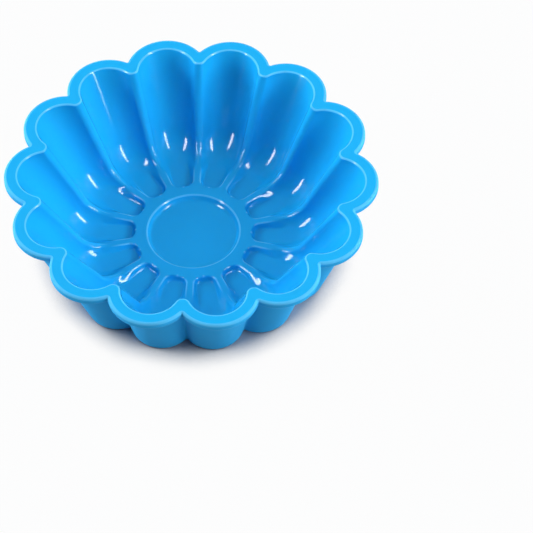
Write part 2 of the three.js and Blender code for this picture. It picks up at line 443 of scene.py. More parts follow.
@dataclass
class Stations:
    """Rows of a petal's section, each from a bottom point on the centre line to a crest on the ridge.

    Points are (reach, level) pairs in the plane of the petal's axis; the ridge's reach is along that axis.
    The other values are given for each row, or once for all.
    """

    bottom: np.ndarray
    crest: np.ndarray
    crest_radius: float | np.ndarray
    pad_share: float | np.ndarray = 0.0
    rib_half: float | np.ndarray = 0.0

    def column(self, value: float | np.ndarray) -> np.ndarray:
        """Give a value of the rows as a column."""
        return np.broadcast_to(value, len(self.bottom))[:, None]

    def points(self) -> np.ndarray:
        """Place each row's half section in the slanting plane from its bottom to its crest.

        A row is the flute's section, the pad's section, or their mix by pad_share. A height h of the
        section goes to bottom + (crest - bottom) * h / height.

        Returns:
            Rows by columns by (x, y, z), from one ridge across the petal to the other.
        """
        upright = self.crest - self.bottom
        height = np.linalg.norm(upright, axis=1)[:, None]
        half_width = self.crest[:, :1] * math.tan(SIZES.half_pitch)
        tilt = np.arctan(-upright[:, :1] / height * math.tan(SIZES.half_pitch))
        across, up = flute_section(half_width, height, self.column(self.crest_radius), tilt)
        pad_across, pad_up = RIB_SIDE.section(half_width, height, self.column(self.rib_half))
        mix = self.column(self.pad_share)
        across, up = across + (pad_across - across) * mix, up + (pad_up - up) * mix
        on_axis = self.bottom[:, None, :] + upright[:, None, :] * (up / height)[..., None]
        return whole_section(on_axis[..., 0], across, on_axis[..., 1])


def whole_section(reach: np.ndarray, across: np.ndarray, level: np.ndarray) -> np.ndarray:
    """Mirror half sections about the petal's axis.

    Args:
        reach: x, rows by columns, from the centre line to the ridge.
        across: y, the same shape.
        level: z, the same shape.

    Returns:
        Rows by columns by (x, y, z), from one ridge across the petal to the other.
    """
    left = np.stack([reach, across, level], axis=-1)
    right = left[:, :0:-1] * np.array([1.0, -1.0, 1.0])
    return np.concatenate([right, left], axis=1)


def level_circles(radii: tuple[float, ...], level: float) -> np.ndarray:
    """Profile of circles at one level: (radius, level) of each."""
    return np.stack([np.array(radii), np.full(len(radii), level)], axis=1)


def circle_rows(profile: np.ndarray) -> np.ndarray:
    """Rows that follow circles round the axis: x is radius times cosine, y radius times sine.

    Args:
        profile: (radius, level) of each row.

    Returns:
        Rows by columns by (x, y, z) over one petal's angle.
    """
    angle = SIZES.half_pitch * COLUMNS.circle_shares()
    radius = profile[:, :1]
    level = np.repeat(profile[:, 1:], angle.size, axis=1)
    return whole_section(radius * np.cos(angle), radius * np.sin(angle), level)


def lobe_rows(tip: np.ndarray, crest: np.ndarray, crest_radius: np.ndarray, level: np.ndarray) -> np.ndarray:
    """Level rows round a scalloped outline: round lobes that run tangent into rounded notches or ridges.

    Args:
        tip: radius of the lobes' tips, one for each row.
        crest: radius of the notches, one for each row.
        crest_radius: rounding in the notches, one for each row.
        level: height of each row.

    Returns:
        Rows by columns by (x, y, z) over one petal's angle.
    """
    return Stations(
        bottom=np.stack([tip, level], axis=1),
        crest=np.stack([crest * math.cos(SIZES.half_pitch), level], axis=1),
        crest_radius=crest_radius,
    ).points()


def rounded_profile(corners: list[tuple[float, float, float]], steps: int) -> np.ndarray:
    """Profile through corners, each rounded by an arc that is tangent to both of its sides.

    The arc starts at radius times the tangent of half the turn before the corner, and ends as far after it.

    Args:
        corners: (radius, level, rounding) of each corner; the first and the last stay sharp.
        steps: steps along each arc.

    Returns:
        (radius, level) of each row.
    """
    points = np.array(corners)
    rows = [points[:1, :2]]
    for before, (x, y, rounding), after in zip(points[:-2], points[1:-1], points[2:]):
        into = np.array([x, y]) - before[:2]
        out = after[:2] - np.array([x, y])
        into, out = into / np.linalg.norm(into), out / np.linalg.norm(out)
        turn = math.atan2(into[0] * out[1] - into[1] * out[0], into @ out)
        setback = rounding * math.tan(abs(turn) / 2.0)
        side = math.copysign(1.0, turn) * np.array([-into[1], into[0]])
        angle = abs(turn) * shares(steps)[:, None]
        start = np.array([x, y]) - into * setback
        rows.append(start + rounding * (np.sin(angle) * into + (1.0 - np.cos(angle)) * side))
    return np.concatenate([*rows, points[-1:, :2]])


def foot_profile(
    top: tuple[float, float], corner: tuple[float, float], radius: float, wall_steps: int, foot_steps: int
) -> np.ndarray:
    """Profile down a straight wall and round a foot until level.

    The foot is an arc of the given radius, tangent to the wall and to the level through the corner.

    Args:
        top: (reach, level) at the wall's top.
        corner: (reach, level) where the wall's line would meet the floor.
        radius: foot's radius.
        wall_steps: steps down the wall.
        foot_steps: steps round the foot.

    Returns:
        (reach, level) of each row, from the top.
    """
    lean = math.atan2(top[0] - corner[0], top[1] - corner[1])
    centre = np.array([corner[0] - radius * math.tan((math.pi / 2.0 - lean) / 2.0), corner[1] + radius])
    angle = np.linspace(-lean, -math.pi / 2.0, foot_steps + 1)[:, None]
    foot = centre + radius * np.hstack([np.cos(angle), np.sin(angle)])
    wall = np.array(top) + (foot[0] - np.array(top)) * shares(wall_steps)[:-1, None]
    return np.concatenate([wall, foot])


def sharp_edges(grid: np.ndarray, onset: float, full: float) -> np.ndarray:
    """Mark the convex edges of a skin that closes on itself along its columns.

    Along rows and along columns, the curvature is the change of direction at a point over the mean of the
    two steps that meet there, and is counted where it bends away from the normal. The larger of the two
    is eased from 0 at the onset to 1 at the full curvature.

    Args:
        grid: points, rows by columns by (x, y, z).
        onset: curvature at which a round begins to count as an edge, per millimetre.
        full: curvature at which it counts in full.

    Returns:
        Share of an edge at each point, rows by columns.
    """
    columns = np.concatenate([grid[:, -1:], grid, grid[:, :1]], axis=1)
    rows = np.concatenate([grid[:1], grid, grid[-1:]])
    rows[0], rows[-1] = 2.0 * grid[0] - grid[1], 2.0 * grid[-1] - grid[-2]
    normal = np.cross(rows[2:] - rows[:-2], columns[:, 2:] - columns[:, :-2])
    normal /= np.linalg.norm(normal, axis=-1, keepdims=True)
    bends = []
    for into, out in (
        (grid - rows[:-2], rows[2:] - grid),
        (grid - columns[:, :-2], columns[:, 2:] - grid),
    ):
        before, after = (np.linalg.norm(step, axis=-1, keepdims=True) for step in (into, out))
        change = (out / after - into / before) / (0.5 * (before + after))
        bends.append(-(change * normal).sum(axis=-1))
    return smooth_step((np.maximum(*bends) - onset) / (full - onset))


@dataclass
class HubFloor:
    """Shallow round disc in the middle of the floor and the level ring round it.

    The slope between them starts and ends nearer to its middle by the steepening.
    """

    hollow_round: float = 2.4
    edge_round: float = 1.6
    steepening: float = 0.95
    arc_steps: int = 5
    disc_circles: tuple[float, ...] = (3.0, 9.0, 15.0, 20.0, 22.5)
    slope_start: float = 23.5
    edge_margin: float = 0.8
    land_circles: tuple[float, ...] = (33.4, 35.0)

    def rows(self) -> np.ndarray:
        """Circles from the disc's centre up its slope and over the land.

        Returns:
            Rows by columns by (x, y, z) of one petal's share, from the centre outwards.
        """
        disc_level = SIZES.land_level - SIZES.disc_recess
        edge_radius = SIZES.disc_radius + SIZES.disc_slope_run
        slope = rounded_profile(
            [
                (self.slope_start, disc_level, 0.0),
                (SIZES.disc_radius + self.steepening, disc_level, self.hollow_round),
                (edge_radius - self.steepening, SIZES.land_level, self.edge_round),
                (edge_radius + self.edge_margin, SIZES.land_level, 0.0),
            ],
            self.arc_steps,
        )
        disc = level_circles(self.disc_circles, disc_level)
        land = level_circles(self.land_circles, SIZES.land_level)
        return circle_rows(np.concatenate([disc, slope, land]))


@dataclass
class PetalBowl:
    """Baking side of a petal: floor pad between two ribs, the foot, and the fluted wall.

    The ridge's crest gets finer as it draws in, down to the share least_crest of its radius. Rows keep
    clear of the land's edge by the land_gap.
    """

    foot_radius: float = 24.0
    ridge_bend_radius: float = 18.0
    least_crest: float = 0.6
    rib_width: float = 3.2
    corner_radius: float = 5.6
    land_gap: float = 0.6
    tip_on_foot: float = 5.0
    tip_on_pad: float = 9.0
    wall_steps: int = 8
    foot_steps: int = 16
    pad_steps: int = 8
    end_steps: int = 18

    def pad_share(self, reach: np.ndarray, foot_reach: float) -> np.ndarray:
        """Share of the pad's section in each row, eased from 0 to 1 along the pad's rounded tip.

        Args:
            reach: reach of each row's bottom point.
            foot_reach: reach at which the foot ends.

        Returns:
            The shares.
        """
        return smooth_step((foot_reach + self.tip_on_foot - reach) / (self.tip_on_foot + self.tip_on_pad))

    def wall_rows(self, top: float) -> Stations:
        """Stations down the wall and round the foot.

        Args:
            top: level of the first row, just under the rim's rounded edge.

        Returns:
            Stations whose section begins to turn from the flute's to the pad's at the foot's end.
        """
        along = math.cos(SIZES.half_pitch)
        floor, land = SIZES.pad_thickness, SIZES.land_level
        flute = foot_profile(
            (SIZES.flute_reach(top), top), (SIZES.flute_reach(floor), floor),
            self.foot_radius, self.wall_steps, self.foot_steps,
        )
        ridge = foot_profile(
            (SIZES.ridge_radius_at(top) * along, top), (SIZES.ridge_radius_at(land) * along, land),
            self.ridge_bend_radius, self.wall_steps, self.foot_steps,
        )
        drawn_in = ridge[:, 0] / (SIZES.ridge_crest * along)
        return Stations(
            bottom=flute,
            crest=ridge,
            crest_radius=SIZES.ridge_radius * np.maximum(drawn_in, self.least_crest),
            pad_share=self.pad_share(flute[:, 0], flute[-1, 0]),
            rib_half=self.rib_width / 2.0,
        )

    def pad_rows(self, foot: Stations, end: float) -> Stations:
        """Stations along the level pad, from the foot to where its hub end begins.

        Args:
            foot: stations of the wall and the foot, whose last one is level.
            end: reach at which the hub end begins.

        Returns:
            Stations that go evenly from the foot's last to upright ones.
        """
        bottom = even_way(foot.bottom[-1], (end, SIZES.pad_thickness), self.pad_steps)
        return Stations(
            bottom=bottom,
            crest=even_way(foot.crest[-1], (end, SIZES.land_level), self.pad_steps),
            crest_radius=foot.crest_radius[-1],
            pad_share=self.pad_share(bottom[:, 0], foot.bottom[-1, 0]),
            rib_half=self.rib_width / 2.0,
        )

    def end_rows(self, start: float) -> np.ndarray:
        """Hub end of the pad, where its floor rises to the land inside a rounded outline.

        The height is that of a rib's side at the plan distance from the pad's level part. That distance
        is measured from the two flanks and the end, joined by a round corner: the root of the squares of
        both distances, each counted from the corner's centre, less the corner's radius.

        Args:
            start: reach of the row before the first.

        Returns:
            Rows by columns by (x, y, z).
        """
        run = RIB_SIDE.full_run()
        low_corner = self.corner_radius - run
        reach = np.linspace(start, SIZES.land_radius - self.land_gap, self.end_steps + 1)[1:, None]
        half_width = reach * math.tan(SIZES.half_pitch)
        into_corner = np.clip(SIZES.land_radius + self.corner_radius - reach, 0.0, self.corner_radius)
        rounding = self.corner_radius - np.sqrt(self.corner_radius ** 2 - into_corner ** 2)
        height = np.full_like(reach, SIZES.pad_depth)
        across, _ = RIB_SIDE.section(half_width, height, self.rib_width / 2.0 + rounding)
        past_flank = self.rib_width / 2.0 + run - (half_width - across) + low_corner
        past_end = SIZES.land_radius + run - np.hypot(reach, across) + low_corner
        outside = np.hypot(np.maximum(past_flank, 0.0), np.maximum(past_end, 0.0))
        rise = RIB_SIDE.height_at(outside - low_corner, SIZES.pad_depth)
        return whole_section(np.broadcast_to(reach, across.shape), across, SIZES.pad_thickness + rise)

    def rows(self, top: float) -> np.ndarray:
        """All rows of the baking side of a petal.

        Args:
            top: level of the highest row.

        Returns:
            Rows by columns by (x, y, z), from the hub outwards and up.
        """
        pad_end = SIZES.land_radius + max(self.corner_radius, RIB_SIDE.full_run()) + self.land_gap
        wall = self.wall_rows(top)
        pad = self.pad_rows(wall, pad_end)
        down = np.concatenate([wall.points(), pad.points(), self.end_rows(float(pad.bottom[-1, 0]))])
        return down[::-1]


@dataclass
class Rim:
    """Scalloped flange: rounded inner edge, level top, rounded outer edge, side and underside.

    The bands are the places of rows on the level faces, as shares of the way outwards on top and inwards
    underneath. In the neck, the grooves' rounding takes the share groove_widening of the offset.
    """

    inner_round: float = 1.3
    outer_round: float = 1.8
    lower_round: float = 0.8
    notch_round: float = 0.7
    neck_round: float = 1.4
    groove_widening: float = 0.5
    top_bands: tuple[float, ...] = (0.06, 0.3, 0.65, 0.92)
    under_bands: tuple[float, ...] = (0.1, 0.5, 0.9)
    arc_steps: int = 6

    def lean(self) -> float:
        """Mean lean of the wall from the upright, in radians."""
        return math.radians((SIZES.flute_draft_deg + SIZES.ridge_draft_deg) / 2.0)

    def wall_top(self) -> float:
        """Level at which the rounded inner edge leaves the wall."""
        return SIZES.rim_level - self.inner_round * (1.0 - math.sin(self.lean()))

    def inner_edge(self) -> np.ndarray:
        """Rows round the inner edge, from the wall to the top face: an arc from the wall's lean to level.

        Returns:
            Rows by columns by (x, y, z), going up and outwards.
        """
        angle = np.linspace(self.lean(), math.pi / 2.0, self.arc_steps + 1)
        offset = self.inner_round * (math.tan((math.pi / 2.0 - self.lean()) / 2.0) - np.cos(angle))
        level = SIZES.rim_level - self.inner_round * (1.0 - np.sin(angle))
        return lobe_rows(
            SIZES.flute_radius + offset, SIZES.ridge_crest + offset, SIZES.ridge_radius - offset, level
        )

    def outer_edge(self) -> np.ndarray:
        """Rows over the outer edge, down the side and round its lower edge: two quarter rounds and a flat.

        Returns:
            Rows by columns by (x, y, z), going down.
        """
        angle = np.linspace(0.0, math.pi / 2.0, self.arc_steps + 1)
        upper_inset = self.outer_round * (1.0 - np.sin(angle))
        lower_inset = self.lower_round * (1.0 - np.cos(angle))
        upper_level = SIZES.rim_level - self.outer_round * (1.0 - np.cos(angle))
        lower_level = SIZES.rim_under_level + self.lower_round * (1.0 - np.sin(angle))
        inset = np.concatenate([upper_inset, lower_inset])
        level = np.concatenate([upper_level, lower_level])
        return lobe_rows(
            SIZES.tip_radius - inset, SIZES.notch_radius - inset, self.notch_round + inset, level
        )

    def neck(self, tip: float, groove: float, groove_radius: float) -> np.ndarray:
        """Rows of the hollow under the rim: an arc from the underside into the outer wall.

        Args:
            tip: reach of the outer wall at the rim's underside.
            groove: radius of the outer grooves there.
            groove_radius: rounding in those grooves.

        Returns:
            Rows by columns by (x, y, z), going down.
        """
        angle = np.linspace(math.pi / 2.0, math.pi - self.lean(), self.arc_steps + 1)
        offset = self.neck_round * (math.tan((math.pi / 2.0 - self.lean()) / 2.0) + np.cos(angle))
        level = SIZES.rim_under_level - self.neck_round * (1.0 - np.sin(angle))
        return lobe_rows(tip + offset, groove + offset, groove_radius + offset * self.groove_widening, level)

    def rows(self, tip: float, groove: float, groove_radius: float) -> np.ndarray:
        """All rows of the rim, with level bands between the rounded edges.

        Args:
            tip: reach of the outer wall at the rim's underside.
            groove: radius of the outer grooves there.
            groove_radius: rounding in those grooves.

        Returns:
            Rows by columns by (x, y, z), from the inner edge over the top and back under to the neck.
        """
        inner, outer, neck = self.inner_edge(), self.outer_edge(), self.neck(tip, groove, groove_radius)
        top, under = (np.array(bands)[:, None, None] for bands in (self.top_bands, self.under_bands))
        return np.concatenate([
            inner,
            inner[-1] + (outer[0] - inner[-1]) * top,
            outer,
            outer[-1] + (neck[0] - outer[-1]) * under,
            neck,
        ])


@dataclass
class OuterShell:
    """Outside of the mould: lobed wall with grooves, base edge, grooved underside and hub recess.

    The underside's grooves reach their full rise after the share groove_onset of the way inwards. The
    recess wall leans in by recess_lean and has its rows at the shares recess_climb of its height; the
    recess's roof begins recess_margin in from the brink.
    """

    tip_at_rim: float = 112.4
    tip_at_base: float = 92.2
    groove_at_rim: float = 100.3
    groove_at_base: float = 82.9
    groove_radius: float = 1.4
    base_edge_radius: float = 4.0
    groove_rise: float = 3.0
    groove_half: float = 0.5
    groove_onset: float = 0.25
    recess_radius: float = 36.0
    recess_lean: float = 0.4
    recess_climb: tuple[float, ...] = (0.02, 0.15, 0.5, 0.85, 0.97, 1.0)
    recess_margin: float = 0.8
    recess_round: float = 1.0
    slope_end: float = 25.0
    middle_circles: tuple[float, ...] = (16.0, 6.0)
    wall_steps: int = 7
    edge_steps: int = 8
    under_steps: int = 9
    recess_steps: int = 4

    def on_way_up(self, at_base: float, at_rim: float, level: float) -> float:
        """Go evenly from a value at the base to one at the rim's underside."""
        return at_base + (at_rim - at_base) * level / SIZES.rim_under_level

    def tip_at(self, level: float) -> float:
        """Reach of the outer wall's lobes at a level."""
        return self.on_way_up(self.tip_at_base, self.tip_at_rim, level)

    def groove_at(self, level: float) -> float:
        """Radius of the grooves between the lobes at a level."""
        return self.on_way_up(self.groove_at_base, self.groove_at_rim, level)

    def wall_rows(self, top: float) -> Stations:
        """Stations down the outer wall and round the base edge.

        Args:
            top: level of the first row, just under the neck.

        Returns:
            Stations of lobes between narrow grooves.
        """
        along = math.cos(SIZES.half_pitch)
        side = foot_profile(
            (self.tip_at(top), top), (self.tip_at(0.0), 0.0),
            self.base_edge_radius, self.wall_steps, self.edge_steps,
        )
        groove = foot_profile(
            (self.groove_at(top) * along, top), (self.groove_at(0.0) * along, 0.0),
            self.base_edge_radius, self.wall_steps, self.edge_steps,
        )
        return Stations(bottom=side, crest=groove, crest_radius=self.groove_radius)

    def under_rows(self, edge: Stations) -> Stations:
        """Stations of the underside, level pads between grooves, in to the hub recess.

        Args:
            edge: stations of the wall and the base edge, whose last one is level.

        Returns:
            Stations that go evenly from the edge's last to upright ones at the recess.
        """
        brink = (self.recess_radius, 0.0)
        crest = even_way(edge.crest[-1], brink, self.under_steps)
        deepening = smooth_step(shares(self.under_steps)[1:] / self.groove_onset)
        crest[:, 1] = self.groove_rise * deepening
        return Stations(
            bottom=even_way(edge.bottom[-1], brink, self.under_steps),
            crest=crest,
            crest_radius=self.groove_radius,
            pad_share=deepening,
            rib_half=self.groove_half,
        )

    def recess_rows(self, brink: np.ndarray) -> np.ndarray:
        """Rows up the recess wall, over the land's underside and down the slope to the disc's underside.

        Each column rises evenly from its own level at the brink to the land's underside, so the grooves
        run out into the recess. The slope lies inside the floor's by the hub's thickness, which shifts
        its corners by that times the tangent of half the slope.

        Args:
            brink: last row of the underside, columns by (x, y, z).

        Returns:
            Rows by columns by (x, y, z), going inwards.
        """
        land_under = SIZES.land_level - SIZES.hub_thickness
        disc_under = land_under - SIZES.disc_recess
        shift = SIZES.hub_thickness * math.tan(math.atan2(SIZES.disc_recess, SIZES.disc_slope_run) / 2.0)
        roof = circle_rows(level_circles((self.recess_radius - self.recess_lean,), land_under))[0]
        climb = brink + (roof - brink) * np.array(self.recess_climb)[:, None, None]
        slope = rounded_profile(
            [
                (self.recess_radius - self.recess_margin, land_under, 0.0),
                (SIZES.disc_radius + SIZES.disc_slope_run + shift, land_under, self.recess_round),
                (SIZES.disc_radius + shift, disc_under, self.recess_round),
                (self.slope_end, disc_under, 0.0),
            ],
            self.recess_steps,
        )
        middle = level_circles(self.middle_circles, disc_under)
        return np.concatenate([climb, circle_rows(np.concatenate([slope, middle]))])

    def rows(self, top: float) -> np.ndarray:
        """All rows of the outside, from the neck down, round the base and in to the centre.

        Args:
            top: level of the first row.

        Returns:
            Rows by columns by (x, y, z).
        """
        wall = self.wall_rows(top)
        under = self.under_rows(wall).points()
        return np.concatenate([wall.points(), under, self.recess_rows(under[-1])])


class Gloss(Enum):
    """How the mould's surface left its tool, with the roughness that gives."""

    POLISHED_TOOL = 0.09
    MATT_TOOL = 0.9


@dataclass(frozen=True)
class Mottle:
    """Irregular pattern in a finish: its spacing in millimetres, its finer detail and how strong that is."""

    spacing_mm: float
    detail: float
    detail_strength: float = 0.5

    def inputs(self) -> dict[str, float]:
        """Values for a noise texture, whose scale is one over the spacing in metres."""
        scale = 1.0 / (self.spacing_mm * MM)
        return {"Scale": scale, "Detail": self.detail, "Roughness": self.detail_strength}


@dataclass(frozen=True)
class MouldedSilicone:
    """Platinum-cured silicone rubber, pigmented blue, cast against a polished core in a matt cavity.

    To the eye it is a clear, saturated colour under a smooth wet-looking skin on the baking side, and
    dull from the rim's outer edge down. Sharp convex rounds are painted paler, a painted highlight along
    the edges. The cure leaves a faint waviness, and a fine film of handling marks dulls the gloss here and
    there.
    """

    name: str = "moulded_silicone_blue"
    body: str = "#1aa8e9"
    # The paler edge colour and the mark that places it: a painted highlight on the sharp convex rounds.
    deep: str = "#18a4e5"
    edge: str = "#55c0f4"
    edge_highlight_mark: str = "edge"
    inside: Gloss = Gloss.POLISHED_TOOL
    outside: Gloss = Gloss.MATT_TOOL
    outside_mark: str = "outside"
    ior: float = 1.41
    specular: float = 0.5
    cloud: Mottle = Mottle(38.0, 3.0)
    film: Mottle = Mottle(11.0, 5.0, 0.6)
    film_onset: float = 0.4
    film_full: float = 0.75
    film_roughness: float = 0.05
    wave: Mottle = Mottle(6.0, 1.0, 0.4)
    wave_strength: float = 0.5
    wave_height_mm: float = 0.003

    def material(self) -> bpy.types.Material:
        """Build the material on Object coordinates and the skin's two marks.

        The colour goes from deep to body by a slow cloud in the pigment, and to the paler edge colour, a
        painted highlight on the sharp rounds, by the edge highlight mark. The roughness goes from the
        inside's to the outside's by the outside mark, and the film adds to it. The cure's waves are in the
        bump.

        Returns:
            The new material.
        """
        material = bpy.data.materials.new(self.name)
        tree = empty_tree(material)
        place = add_node(tree, "ShaderNodeTexCoord").outputs["Object"]
        cloud, film, wave = (
            add_node(tree, "ShaderNodeTexNoise", {"Vector": place}, mottle.inputs()).outputs["Fac"]
            for mottle in (self.cloud, self.film, self.wave)
        )
        # The first mark places the painted edge highlight, the second the matt outside.
        edge_highlight, outside = (
            add_node(tree, "ShaderNodeAttribute", attribute_name=mark).outputs["Fac"]
            for mark in (self.edge_highlight_mark, self.outside_mark)
        )
        pigment = add_node(
            tree, "ShaderNodeMix", {"Factor": cloud},
            {COLOUR_A: linear(self.deep), COLOUR_B: linear(self.body)}, data_type="RGBA",
        )
        # Mixes in the paler edge colour: a painted highlight.
        colour = add_node(
            tree, "ShaderNodeMix", {"Factor": edge_highlight, COLOUR_A: pigment.outputs[MIXED_COLOUR]},
            {COLOUR_B: linear(self.edge)}, data_type="RGBA",
        )
        tool = add_node(
            tree, "ShaderNodeMapRange", {"Value": outside},
            {"To Min": self.inside.value, "To Max": self.outside.value},
        )
        marks = add_node(
            tree, "ShaderNodeMapRange", {"Value": film},
            {"From Min": self.film_onset, "From Max": self.film_full, "To Max": self.film_roughness},
        )
        roughness = add_node(
            tree, "ShaderNodeMath", {0: tool.outputs["Result"], 1: marks.outputs["Result"]}, operation="ADD"
        )
        bump = add_node(
            tree, "ShaderNodeBump", {"Height": wave},
            {"Strength": self.wave_strength, "Distance": self.wave_height_mm * MM},
        )
        skin = add_node(
            tree, "ShaderNodeBsdfPrincipled",
            {
                "Base Color": colour.outputs[MIXED_COLOUR],
                "Roughness": roughness.outputs[0],
                "Normal": bump.outputs["Normal"],
            },
            {"IOR": self.ior, "Specular IOR Level": self.specular},
        )
        add_node(tree, "ShaderNodeOutputMaterial", {"Surface": skin.outputs["BSDF"]})
        return material


@dataclass(frozen=True)
class PaleTable:
    """Matt laminate that the mould stands on, lifted to white where it lies open.

    What is seen of the table, straight or in the gloss, is part its lit face and part plain white. The
    white share fades out by occlusion close under the mould, which paints a contact shadow on top of the
    real one; there the lit face shows in its colour, a darker blue grey that is painted shade. The light
    that the table throws back has the paler bounce colour.
    """

    name: str = "matt_white_laminate"
    # Darker blue grey seen by camera and gloss rays: painted shade, bluer and darker than the bounce colour.
    colour: str = "#8795a4"
    bounce: str = "#aeb3b8"
    white_share: float = 0.97
    shadow_reach: float = 0.05
    shadow_samples: int = 24
    shaded: float = 0.35
    unshaded: float = 0.58

    def material(self) -> bpy.types.Material:
        """Build the material.

        The openness above a point, within shadow_reach in metres, is taken from 0 where it is shaded to
        white_share where it is unshaded. That is the white share for camera, glossy and transmission
        rays, and other rays have none.

        Returns:
            The new material.
        """
        material = bpy.data.materials.new(self.name)
        tree = empty_tree(material)
        ray = add_node(tree, "ShaderNodeLightPath").outputs
        seen = add_node(
            tree, "ShaderNodeMath", {0: ray["Is Camera Ray"], 1: ray["Is Glossy Ray"]}, operation="ADD"
        )
        viewed = add_node(
            tree, "ShaderNodeMath", {0: seen.outputs[0], 1: ray["Is Transmission Ray"]},
            operation="ADD", use_clamp=True,
        )
        # Occlusion under the mould fades out the white: a painted contact shadow.
        openness = add_node(
            tree, "ShaderNodeAmbientOcclusion", values={"Distance": self.shadow_reach},
            samples=self.shadow_samples,
        )
        lifted = add_node(
            tree, "ShaderNodeMapRange", {"Value": openness.outputs["AO"]},
            {"From Min": self.shaded, "From Max": self.unshaded, "To Max": self.white_share},
        )
        share = add_node(
            tree, "ShaderNodeMath", {0: lifted.outputs["Result"], 1: viewed.outputs[0]},
            operation="MULTIPLY",
        )
        # Diffuse rays take the paler bounce colour; other rays take the darker colour, which is painted
        # shade.
        laminate = add_node(
            tree, "ShaderNodeMix", {"Factor": ray["Is Diffuse Ray"]},
            {COLOUR_A: linear(self.colour), COLOUR_B: linear(self.bounce)}, data_type="RGBA",
        )
        face = add_node(tree, "ShaderNodeBsdfDiffuse", {"Color": laminate.outputs[MIXED_COLOUR]})
        white = add_node(tree, "ShaderNodeEmission", values={"Strength": 1.0})
        mixed = add_node(
            tree, "ShaderNodeMixShader",
            {0: share.outputs[0], 1: face.outputs["BSDF"], 2: white.outputs["Emission"]},
        )
        add_node(tree, "ShaderNodeOutputMaterial", {"Surface": mixed.outputs["Shader"]})
        return material


@dataclass
class FlowerMould:
    """The whole moulding: its zones joined into one closed skin.

    The bowl begins below_edge under the rim's inner edge, and the outer wall below_neck under the neck.
    Convex rounds are painted with the paler edge highlight from the curvature edge_onset, and in full at
    edge_full.
    """

    name: str = "mould_skin"
    below_edge: float = 0.5
    below_neck: float = 0.8
    edge_onset: float = 0.2
    edge_full: float = 0.8
    hub: HubFloor = field(default_factory=HubFloor)
    bowl: PetalBowl = field(default_factory=PetalBowl)
    rim: Rim = field(default_factory=Rim)
    shell: OuterShell = field(default_factory=OuterShell)
    finish: MouldedSilicone = field(default_factory=MouldedSilicone)

    def petal_rows(self) -> np.ndarray:
        """Rows of one petal, from the floor's centre over the rim and back to the underside's centre.

        Returns:
            Rows by columns by (x, y, z), in millimetres.
        """
        under = SIZES.rim_under_level
        rim = self.rim.rows(self.shell.tip_at(under), self.shell.groove_at(under), self.shell.groove_radius)
        neck_level = float(rim[-1, 0, 2])
        zones = {
            "hub floor": self.hub.rows(),
            "petal bowl": self.bowl.rows(self.rim.wall_top() - self.below_edge),
            "rim": rim,
            "outer shell": self.shell.rows(neck_level - self.below_neck),
        }
        for zone, rows in zones.items():
            LOG.info("%s: %d rows of %d columns", zone, rows.shape[0], rows.shape[1])
        return np.concatenate(list(zones.values()))

    def whole_grid(self, petal: np.ndarray) -> np.ndarray:
        """Turn one petal's rows to all petals.

        A point (x, y) of petal k goes to x cos a - y sin a and x sin a + y cos a, where a is k pitches.

        Args:
            petal: rows of one petal, without the last column, which is the next petal's first.

        Returns:
            Rows by columns by (x, y, z), round the whole mould.
        """
        turn = 2.0 * SIZES.half_pitch * np.arange(SIZES.petal_count)[None, :, None]
        x, y, z = (petal[:, None, :, axis] for axis in range(3))
        turned_x = x * np.cos(turn) - y * np.sin(turn)
        turned_y = x * np.sin(turn) + y * np.cos(turn)
        ring = np.stack([turned_x, turned_y, np.broadcast_to(z, turned_x.shape)], axis=-1)
        return ring.reshape(len(petal), -1, 3)

    def marks(self, petal: np.ndarray, grid: np.ndarray) -> dict[str, np.ndarray]:
        """Work out the marks that the finish reads.

        The outside is 1 from the first row whose petal tip is past the start of the rim's outer round.
        The edge is the share of a sharp convex edge, where the finish paints its paler highlight.

        Args:
            petal: rows of one petal.
            grid: rows round the whole mould.

        Returns:
            Mark's name to its value at each point, with those of the two poles at the end.
        """
        reach = petal[:, COLUMNS.half, 0]
        outside = np.arange(len(petal)) >= np.argmax(reach > SIZES.tip_radius - self.rim.outer_round)
        # Sharp convex rounds, where the finish paints its paler highlight.
        edge = sharp_edges(grid, self.edge_onset, self.edge_full)
        return {
            self.finish.outside_mark: np.append(np.repeat(outside, grid.shape[1]), [0.0, 1.0]),
            self.finish.edge_highlight_mark: np.append(edge, [0.0, 0.0]),
        }

    def build(self) -> bpy.types.Object:
        """Turn one petal's rows to all petals and close the skin with a pole at each end.

        Quads join each row to the next and each column to the next, round to the first; the poles are
        fans of triangles.

        Returns:
            The new object, at the origin, with the finish's marks.
        """
        petal = self.petal_rows()[:, :-1]
        grid = self.whole_grid(petal)
        rows, columns = grid.shape[:2]
        poles = np.array([[0.0, 0.0, petal[0, 0, 2]], [0.0, 0.0, petal[-1, 0, 2]]])
        points = np.concatenate([grid.reshape(-1, 3), poles]) * MM
        quads = grid_quads(rows, columns, closed=True)
        here = np.arange(columns)
        there = np.roll(here, -1)
        last = (rows - 1) * columns
        upper = np.stack([np.full(columns, rows * columns), here, there], axis=-1)
        lower = np.stack([last + here, np.full(columns, rows * columns + 1), last + there], axis=-1)
        skin = add_piece(self.name, points, [*quads.tolist(), *upper.tolist(), *lower.tolist()])
        mesh = skin.data
        mesh.polygons.foreach_set("use_smooth", np.ones(len(mesh.polygons), dtype=bool))
        for name, values in self.marks(petal, grid).items():
            mark = mesh.attributes.new(name, "FLOAT", "POINT")
            mark.data.foreach_set("value", values.astype(np.float32))
        mesh.update()
        LOG.info("%s: %d points, %d triangles", self.name, len(points), 2 * (len(quads) + columns))
        return skin

    def dress(self, skin: bpy.types.Object) -> None:
        """Give the skin its finish and tie it to the CAD body and nodes that it stands for.

        Args:
            skin: the mould's object.
        """
        skin.data.materials.append(self.finish.material())
        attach(skin, "root")
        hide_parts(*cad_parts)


class PanelOutline(Enum):
    """Outline of a light panel; an oval one gives highlights that taper at both ends."""

    OBLONG = "RECTANGLE"
    OVAL = "ELLIPSE"


class PanelRole(Enum):
    """What a light panel does: light the colour without an image in the gloss, or be that image alone."""

    FILL = "diffuse"
    HIGHLIGHT = "glossy"


